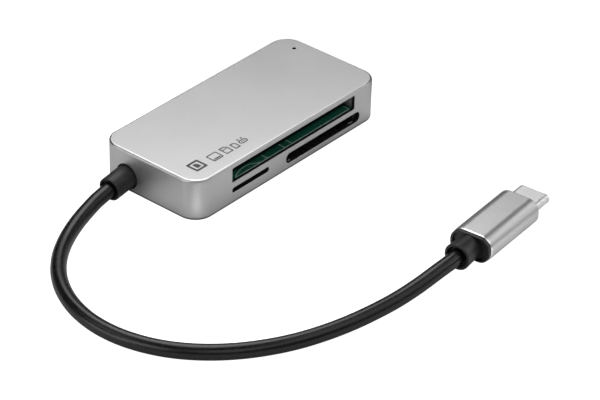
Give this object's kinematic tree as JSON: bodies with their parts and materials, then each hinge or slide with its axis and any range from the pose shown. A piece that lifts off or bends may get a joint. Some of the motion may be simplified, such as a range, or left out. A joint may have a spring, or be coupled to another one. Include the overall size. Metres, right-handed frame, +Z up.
{
  "type": "memory card reader",
  "caption": "Slim rounded aluminium card reader with card slots in one long side, a status light hole and a short captive cable that ends in a flat plug with a metal sleeve.",
  "frame": {"origin": "centre of the case's underside, where it rests on the desk", "axes": "+X along the case, away from the cable end; -Y out of the card slots; +Z up"},
  "size_m": [0.1128, 0.0898, 0.0108],
  "materials": {
    "blasted_aluminium": "bead-blasted, clear anodised, satin",
    "steel": "nickel-plated",
    "board": "dark green solder mask",
    "black_plastic": "moulded, matt",
    "gold_contacts": "gold-plated",
    "chip": "moulded epoxy",
    "ceramic": "ceramic",
    "lens": "clear, moulded",
    "black_rubber": "soft matt sheath",
    "wire_red": "wire insulation",
    "wire_white": "wire insulation",
    "wire_green": "wire insulation",
    "wire_black": "wire insulation"
  },
  "bodies": {
    "housing": {"base_plate": "blasted_aluminium", "base_screw_1": "steel", "base_screw_2": "steel", "base_screw_3": "steel", "base_screw_4": "steel", "cable": "black_rubber", "cable_boot": "black_rubber", "capacitor_1": "ceramic", "capacitor_2": "ceramic", "capacitor_3": "ceramic", "capacitor_4": "ceramic", "case_shell": "blasted_aluminium", "controller_chip": "chip", "crystal": "steel", "lamp_window": "lens", "main_board": "board", "medium_contacts": "gold_contacts", "medium_detect_pin": "steel", "medium_lock_pin": "steel", "medium_socket_body": "black_plastic", "medium_socket_cover": "steel", "memory_chip": "chip", "plug_board": "board", "plug_contact_block": "black_plastic", "plug_contacts_lower": "gold_contacts", "plug_contacts_upper": "gold_contacts", "plug_overmould": "black_plastic", "plug_shell": "steel", "plug_sleeve": "blasted_aluminium", "small_contacts": "gold_contacts", "small_eject_spring": "steel", "small_socket_body": "black_plastic", "small_socket_cover": "steel", "status_lamp": "lens", "voltage_regulator": "chip", "wide_guide_left": "black_plastic", "wide_guide_right": "black_plastic", "wide_pin_header": "black_plastic", "wide_pins_lower": "gold_contacts", "wide_pins_upper": "gold_contacts", "wire_data_minus": "wire_white", "wire_data_plus": "wire_green", "wire_ground": "wire_black", "wire_power": "wire_red"},
    "eject_slider": {"small_eject_slider": "black_plastic"},
    "detect_lever": {"medium_detect_lever": "steel"},
    "lock_lever": {"medium_lock_lever": "steel"}
  },
  "joints": [
    {"name": "small_eject_slide", "type": "slide", "parent": "housing", "child": "eject_slider", "axis": [0, 1, 0], "range_m": [0, 0.0014], "stiffness_N_per_m": 150, "springref_m": -0.0005, "deforming": ["small_eject_spring"]},
    {"name": "medium_detect_turn", "type": "hinge", "parent": "housing", "child": "detect_lever", "pos_m": [0.00065, 0.0076, 0.0028], "axis": [0, 0, 1], "range_deg": [0, 25], "stiffness_Nm_per_rad": 0.0006, "springref_deg": -8.59},
    {"name": "medium_lock_turn", "type": "hinge", "parent": "housing", "child": "lock_lever", "pos_m": [0.0249, 0.0034, 0.0028], "axis": [0, 0, 1], "range_deg": [0, 5], "stiffness_Nm_per_rad": 0.001, "springref_deg": -5.73}
  ]
}
